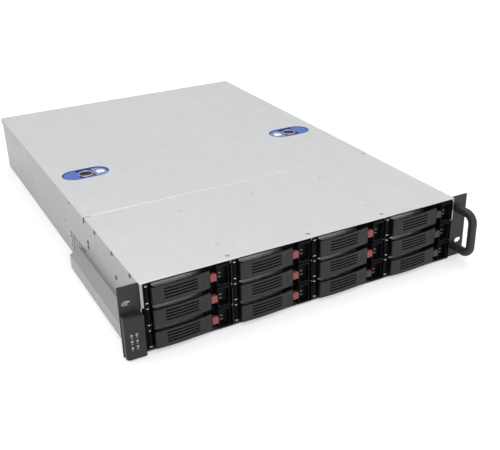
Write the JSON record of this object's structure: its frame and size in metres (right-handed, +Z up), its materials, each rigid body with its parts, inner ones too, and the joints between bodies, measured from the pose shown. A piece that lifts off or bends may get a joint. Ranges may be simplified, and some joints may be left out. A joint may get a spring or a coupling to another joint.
{
  "type": "rack-mount network storage server",
  "caption": "Low rack-mount storage server: steel chassis, hot-swap drive trays with swinging levers, black rack ears, pull handle, control box and a sliding top cover with latches.",
  "frame": {"origin": "centre of the whole object's footprint, on the underside of the base pan", "axes": "+Z up, -Y out of the front where the drive trays open, +X to the right seen from the front"},
  "size_m": [0.4826, 0.723, 0.088],
  "materials": {
    "bare_steel": "bare galvanised sheet, satin",
    "cover_steel": "bare galvanised sheet, satin",
    "black_paint": "fine textured black powder coat",
    "handle_paint": "semi-matt black powder coat",
    "panel_plastic": "fine spark-eroded grain",
    "panel_button_plastic": "satin",
    "tray_plastic": "fine moulded grain",
    "lever_plastic": "fine moulded grain, charcoal",
    "release_red": "semi-gloss",
    "blue_plastic": "semi-gloss moulded",
    "latch_button_plastic": "semi-gloss",
    "circuit_board": "solder resist over copper",
    "heatsink_aluminium": "extruded, satin",
    "fan_plastic": "moulded",
    "screw_steel": "nickel plated",
    "supply_steel": "bare galvanised sheet"
  },
  "bodies": {
    "chassis": {"chassis_base": "bare_steel", "front_cover": "cover_steel", "rack_ear_left": "black_paint", "rack_ear_right": "black_paint", "pull_handle": "handle_paint", "control_panel": "panel_plastic", "cable_duct": "bare_steel", "drive_cage": "bare_steel", "backplane": "circuit_board", "fan_wall": "fan_plastic", "mainboard": "circuit_board", "processor_heatsinks": "heatsink_aluminium", "cover_screws": "screw_steel"},
    "cover": {"rear_cover": "cover_steel", "latch_housings": "blue_plastic"},
    "left_latch": {"latch_button_left": "latch_button_plastic"},
    "right_latch": {"latch_button_right": "latch_button_plastic"},
    "power_key": {"power_button": "panel_button_plastic"},
    "reset_key": {"reset_button": "panel_button_plastic"},
    "fan_1": {"fan_rotor_1": "fan_plastic"},
    "fan_2": {"fan_rotor_2": "fan_plastic"},
    "fan_3": {"fan_rotor_3": "fan_plastic"},
    "supply_1": {"power_supply_1": "supply_steel"},
    "supply_2": {"power_supply_2": "supply_steel"},
    "tray_c1r1": {"drive_tray_c1r1": "tray_plastic"},
    "lever_c1r1": {"tray_lever_c1r1": "lever_plastic"},
    "release_c1r1": {"release_button_c1r1": "release_red"},
    "tray_c1r2": {"drive_tray_c1r2": "tray_plastic"},
    "lever_c1r2": {"tray_lever_c1r2": "lever_plastic"},
    "release_c1r2": {"release_button_c1r2": "release_red"},
    "tray_c1r3": {"drive_tray_c1r3": "tray_plastic"},
    "lever_c1r3": {"tray_lever_c1r3": "lever_plastic"},
    "release_c1r3": {"release_button_c1r3": "release_red"},
    "tray_c2r1": {"drive_tray_c2r1": "tray_plastic"},
    "lever_c2r1": {"tray_lever_c2r1": "lever_plastic"},
    "release_c2r1": {"release_button_c2r1": "release_red"},
    "tray_c2r2": {"drive_tray_c2r2": "tray_plastic"},
    "lever_c2r2": {"tray_lever_c2r2": "lever_plastic"},
    "release_c2r2": {"release_button_c2r2": "release_red"},
    "tray_c2r3": {"drive_tray_c2r3": "tray_plastic"},
    "lever_c2r3": {"tray_lever_c2r3": "lever_plastic"},
    "release_c2r3": {"release_button_c2r3": "release_red"},
    "tray_c3r1": {"drive_tray_c3r1": "tray_plastic"},
    "lever_c3r1": {"tray_lever_c3r1": "lever_plastic"},
    "release_c3r1": {"release_button_c3r1": "release_red"},
    "tray_c3r2": {"drive_tray_c3r2": "tray_plastic"},
    "lever_c3r2": {"tray_lever_c3r2": "lever_plastic"},
    "release_c3r2": {"release_button_c3r2": "release_red"},
    "tray_c3r3": {"drive_tray_c3r3": "tray_plastic"},
    "lever_c3r3": {"tray_lever_c3r3": "lever_plastic"},
    "release_c3r3": {"release_button_c3r3": "release_red"},
    "tray_c4r1": {"drive_tray_c4r1": "tray_plastic"},
    "lever_c4r1": {"tray_lever_c4r1": "lever_plastic"},
    "release_c4r1": {"release_button_c4r1": "release_red"},
    "tray_c4r2": {"drive_tray_c4r2": "tray_plastic"},
    "lever_c4r2": {"tray_lever_c4r2": "lever_plastic"},
    "release_c4r2": {"release_button_c4r2": "release_red"},
    "tray_c4r3": {"drive_tray_c4r3": "tray_plastic"},
    "lever_c4r3": {"tray_lever_c4r3": "lever_plastic"},
    "release_c4r3": {"release_button_c4r3": "release_red"}
  },
  "joints": [
    {"name": "cover_slide", "type": "slide", "parent": "chassis", "child": "cover", "axis": [0, 1, 0], "range_m": [0, 0.016]},
    {"name": "left_latch_press", "type": "slide", "parent": "cover", "child": "left_latch", "axis": [0, 0, -1], "range_m": [0, 0.0025], "stiffness_N_per_m": 500},
    {"name": "right_latch_press", "type": "slide", "parent": "cover", "child": "right_latch", "axis": [0, 0, -1], "range_m": [0, 0.0025], "stiffness_N_per_m": 500},
    {"name": "power_press", "type": "slide", "parent": "chassis", "child": "power_key", "axis": [0, 1, 0], "range_m": [0, 0.0015], "stiffness_N_per_m": 600},
    {"name": "reset_press", "type": "slide", "parent": "chassis", "child": "reset_key", "axis": [0, 1, 0], "range_m": [0, 0.001], "stiffness_N_per_m": 500},
    {"name": "fan_1_spin", "type": "hinge", "parent": "chassis", "child": "fan_1", "pos_m": [-0.115, -0.1025, 0.0424], "axis": [0, 1, 0], "continuous": true},
    {"name": "fan_2_spin", "type": "hinge", "parent": "chassis", "child": "fan_2", "pos_m": [0, -0.1025, 0.0424], "axis": [0, 1, 0], "continuous": true},
    {"name": "fan_3_spin", "type": "hinge", "parent": "chassis", "child": "fan_3", "pos_m": [0.115, -0.1025, 0.0424], "axis": [0, 1, 0], "continuous": true},
    {"name": "supply_1_slide", "type": "slide", "parent": "chassis", "child": "supply_1", "axis": [0, 1, 0], "range_m": [0, 0.19]},
    {"name": "supply_2_slide", "type": "slide", "parent": "chassis", "child": "supply_2", "axis": [0, 1, 0], "range_m": [0, 0.19]},
    {"name": "tray_slide_c1r1", "type": "slide", "parent": "chassis", "child": "tray_c1r1", "axis": [0, -1, 0], "range_m": [0, 0.17]},
    {"name": "lever_swing_c1r1", "type": "hinge", "parent": "tray_c1r1", "child": "lever_c1r1", "pos_m": [-0.2085, -0.3225, 0.0715], "axis": [0, 0, -1], "range_deg": [0, 60]},
    {"name": "release_press_c1r1", "type": "slide", "parent": "tray_c1r1", "child": "release_c1r1", "axis": [0, 1, 0], "range_m": [0, 0.0015], "stiffness_N_per_m": 500},
    {"name": "tray_slide_c1r2", "type": "slide", "parent": "chassis", "child": "tray_c1r2", "axis": [0, -1, 0], "range_m": [0, 0.17]},
    {"name": "lever_swing_c1r2", "type": "hinge", "parent": "tray_c1r2", "child": "lever_c1r2", "pos_m": [-0.2085, -0.3225, 0.0435], "axis": [0, 0, -1], "range_deg": [0, 60]},
    {"name": "release_press_c1r2", "type": "slide", "parent": "tray_c1r2", "child": "release_c1r2", "axis": [0, 1, 0], "range_m": [0, 0.0015], "stiffness_N_per_m": 500},
    {"name": "tray_slide_c1r3", "type": "slide", "parent": "chassis", "child": "tray_c1r3", "axis": [0, -1, 0], "range_m": [0, 0.17]},
    {"name": "lever_swing_c1r3", "type": "hinge", "parent": "tray_c1r3", "child": "lever_c1r3", "pos_m": [-0.2085, -0.3225, 0.0155], "axis": [0, 0, -1], "range_deg": [0, 60]},
    {"name": "release_press_c1r3", "type": "slide", "parent": "tray_c1r3", "child": "release_c1r3", "axis": [0, 1, 0], "range_m": [0, 0.0015], "stiffness_N_per_m": 500},
    {"name": "tray_slide_c2r1", "type": "slide", "parent": "chassis", "child": "tray_c2r1", "axis": [0, -1, 0], "range_m": [0, 0.17]},
    {"name": "lever_swing_c2r1", "type": "hinge", "parent": "tray_c2r1", "child": "lever_c2r1", "pos_m": [-0.1013, -0.3225, 0.0715], "axis": [0, 0, -1], "range_deg": [0, 60]},
    {"name": "release_press_c2r1", "type": "slide", "parent": "tray_c2r1", "child": "release_c2r1", "axis": [0, 1, 0], "range_m": [0, 0.0015], "stiffness_N_per_m": 500},
    {"name": "tray_slide_c2r2", "type": "slide", "parent": "chassis", "child": "tray_c2r2", "axis": [0, -1, 0], "range_m": [0, 0.17]},
    {"name": "lever_swing_c2r2", "type": "hinge", "parent": "tray_c2r2", "child": "lever_c2r2", "pos_m": [-0.1013, -0.3225, 0.0435], "axis": [0, 0, -1], "range_deg": [0, 60]},
    {"name": "release_press_c2r2", "type": "slide", "parent": "tray_c2r2", "child": "release_c2r2", "axis": [0, 1, 0], "range_m": [0, 0.0015], "stiffness_N_per_m": 500},
    {"name": "tray_slide_c2r3", "type": "slide", "parent": "chassis", "child": "tray_c2r3", "axis": [0, -1, 0], "range_m": [0, 0.17]},
    {"name": "lever_swing_c2r3", "type": "hinge", "parent": "tray_c2r3", "child": "lever_c2r3", "pos_m": [-0.1013, -0.3225, 0.0155], "axis": [0, 0, -1], "range_deg": [0, 60]},
    {"name": "release_press_c2r3", "type": "slide", "parent": "tray_c2r3", "child": "release_c2r3", "axis": [0, 1, 0], "range_m": [0, 0.0015], "stiffness_N_per_m": 500},
    {"name": "tray_slide_c3r1", "type": "slide", "parent": "chassis", "child": "tray_c3r1", "axis": [0, -1, 0], "range_m": [0, 0.17]},
    {"name": "lever_swing_c3r1", "type": "hinge", "parent": "tray_c3r1", "child": "lever_c3r1", "pos_m": [0.0059, -0.3225, 0.0715], "axis": [0, 0, -1], "range_deg": [0, 60]},
    {"name": "release_press_c3r1", "type": "slide", "parent": "tray_c3r1", "child": "release_c3r1", "axis": [0, 1, 0], "range_m": [0, 0.0015], "stiffness_N_per_m": 500},
    {"name": "tray_slide_c3r2", "type": "slide", "parent": "chassis", "child": "tray_c3r2", "axis": [0, -1, 0], "range_m": [0, 0.17]},
    {"name": "lever_swing_c3r2", "type": "hinge", "parent": "tray_c3r2", "child": "lever_c3r2", "pos_m": [0.0059, -0.3225, 0.0435], "axis": [0, 0, -1], "range_deg": [0, 60]},
    {"name": "release_press_c3r2", "type": "slide", "parent": "tray_c3r2", "child": "release_c3r2", "axis": [0, 1, 0], "range_m": [0, 0.0015], "stiffness_N_per_m": 500},
    {"name": "tray_slide_c3r3", "type": "slide", "parent": "chassis", "child": "tray_c3r3", "axis": [0, -1, 0], "range_m": [0, 0.17]},
    {"name": "lever_swing_c3r3", "type": "hinge", "parent": "tray_c3r3", "child": "lever_c3r3", "pos_m": [0.0059, -0.3225, 0.0155], "axis": [0, 0, -1], "range_deg": [0, 60]},
    {"name": "release_press_c3r3", "type": "slide", "parent": "tray_c3r3", "child": "release_c3r3", "axis": [0, 1, 0], "range_m": [0, 0.0015], "stiffness_N_per_m": 500},
    {"name": "tray_slide_c4r1", "type": "slide", "parent": "chassis", "child": "tray_c4r1", "axis": [0, -1, 0], "range_m": [0, 0.17]},
    {"name": "lever_swing_c4r1", "type": "hinge", "parent": "tray_c4r1", "child": "lever_c4r1", "pos_m": [0.1131, -0.3225, 0.0715], "axis": [0, 0, -1], "range_deg": [0, 60]},
    {"name": "release_press_c4r1", "type": "slide", "parent": "tray_c4r1", "child": "release_c4r1", "axis": [0, 1, 0], "range_m": [0, 0.0015], "stiffness_N_per_m": 500},
    {"name": "tray_slide_c4r2", "type": "slide", "parent": "chassis", "child": "tray_c4r2", "axis": [0, -1, 0], "range_m": [0, 0.17]},
    {"name": "lever_swing_c4r2", "type": "hinge", "parent": "tray_c4r2", "child": "lever_c4r2", "pos_m": [0.1131, -0.3225, 0.0435], "axis": [0, 0, -1], "range_deg": [0, 60]},
    {"name": "release_press_c4r2", "type": "slide", "parent": "tray_c4r2", "child": "release_c4r2", "axis": [0, 1, 0], "range_m": [0, 0.0015], "stiffness_N_per_m": 500},
    {"name": "tray_slide_c4r3", "type": "slide", "parent": "chassis", "child": "tray_c4r3", "axis": [0, -1, 0], "range_m": [0, 0.17]},
    {"name": "lever_swing_c4r3", "type": "hinge", "parent": "tray_c4r3", "child": "lever_c4r3", "pos_m": [0.1131, -0.3225, 0.0155], "axis": [0, 0, -1], "range_deg": [0, 60]},
    {"name": "release_press_c4r3", "type": "slide", "parent": "tray_c4r3", "child": "release_c4r3", "axis": [0, 1, 0], "range_m": [0, 0.0015], "stiffness_N_per_m": 500}
  ]
}
